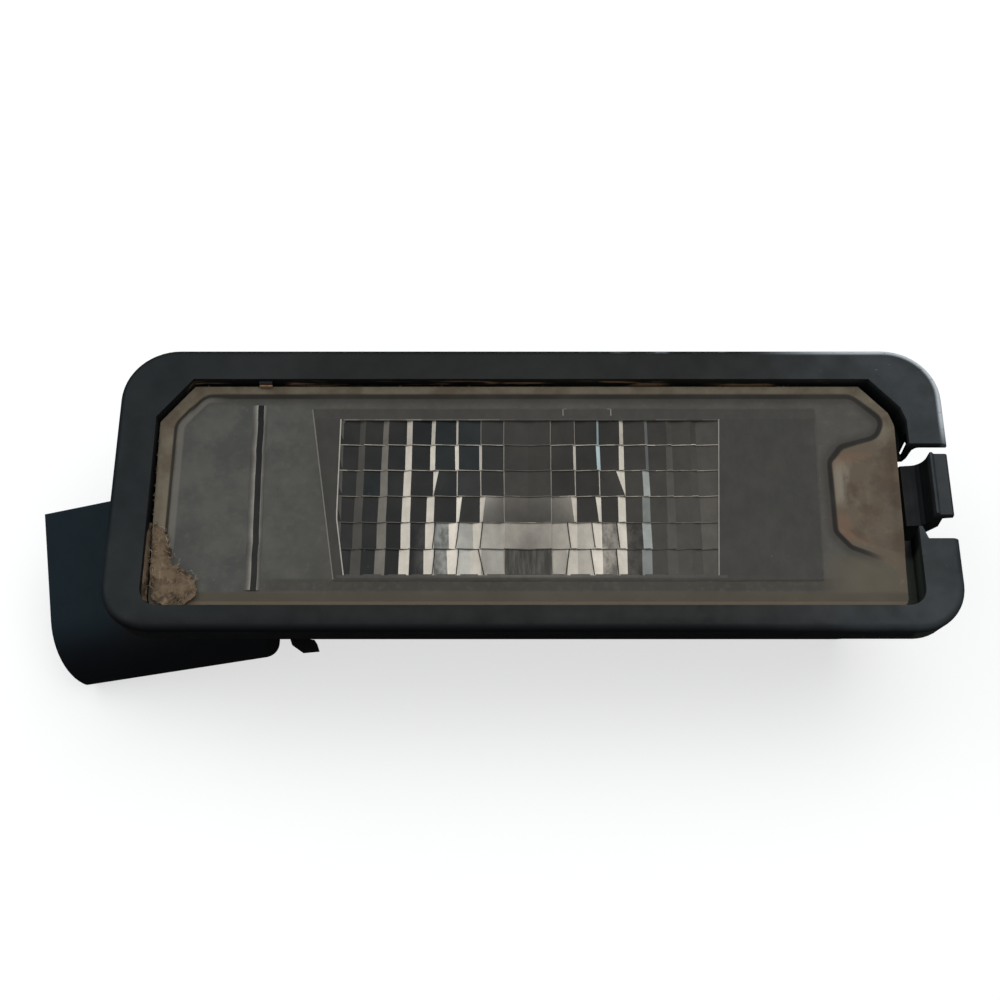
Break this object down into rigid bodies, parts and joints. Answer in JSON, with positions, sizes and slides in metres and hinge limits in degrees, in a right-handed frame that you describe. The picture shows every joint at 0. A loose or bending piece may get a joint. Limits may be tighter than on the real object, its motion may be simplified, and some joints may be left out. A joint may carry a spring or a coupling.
{
  "type": "number plate lamp",
  "caption": "Snap-in car number plate lamp with a recessed prism lens, slanted connector shroud, sprung latch and festoon bulb.",
  "frame": {"origin": "middle of the panel cut-out, in the plane where the back of the bezel meets the panel", "axes": "+Z out of the lens, +X along the length from the connector to the latch, +Y towards the side with the wider bezel bar"},
  "size_m": [0.085, 0.0282, 0.0195],
  "materials": {
    "housing_plastic": "satin",
    "lens_clear": "clear plastic, dusty",
    "seal_rubber": "matte",
    "reflector_plastic": "semi-gloss",
    "bulb_glass": "clear",
    "filament": "matte",
    "lead_wire": "satin",
    "cement": "matte",
    "bulb_cap": "satin",
    "solder": "satin",
    "contact_sheet": "tinned, satin"
  },
  "bodies": {
    "root": {"housing": "housing_plastic", "lens": "lens_clear", "lens_seal": "seal_rubber", "reflector": "reflector_plastic", "bulb_glass": "bulb_glass", "bulb_filament": "filament", "bulb_lead_left": "lead_wire", "bulb_lead_right": "lead_wire", "bulb_cement_left": "cement", "bulb_cement_right": "cement", "bulb_cap_left": "bulb_cap", "bulb_cap_right": "bulb_cap", "bulb_solder_left": "solder", "bulb_solder_right": "solder", "contact_left": "contact_sheet", "contact_right": "contact_sheet"}
  },
  "joints": []
}
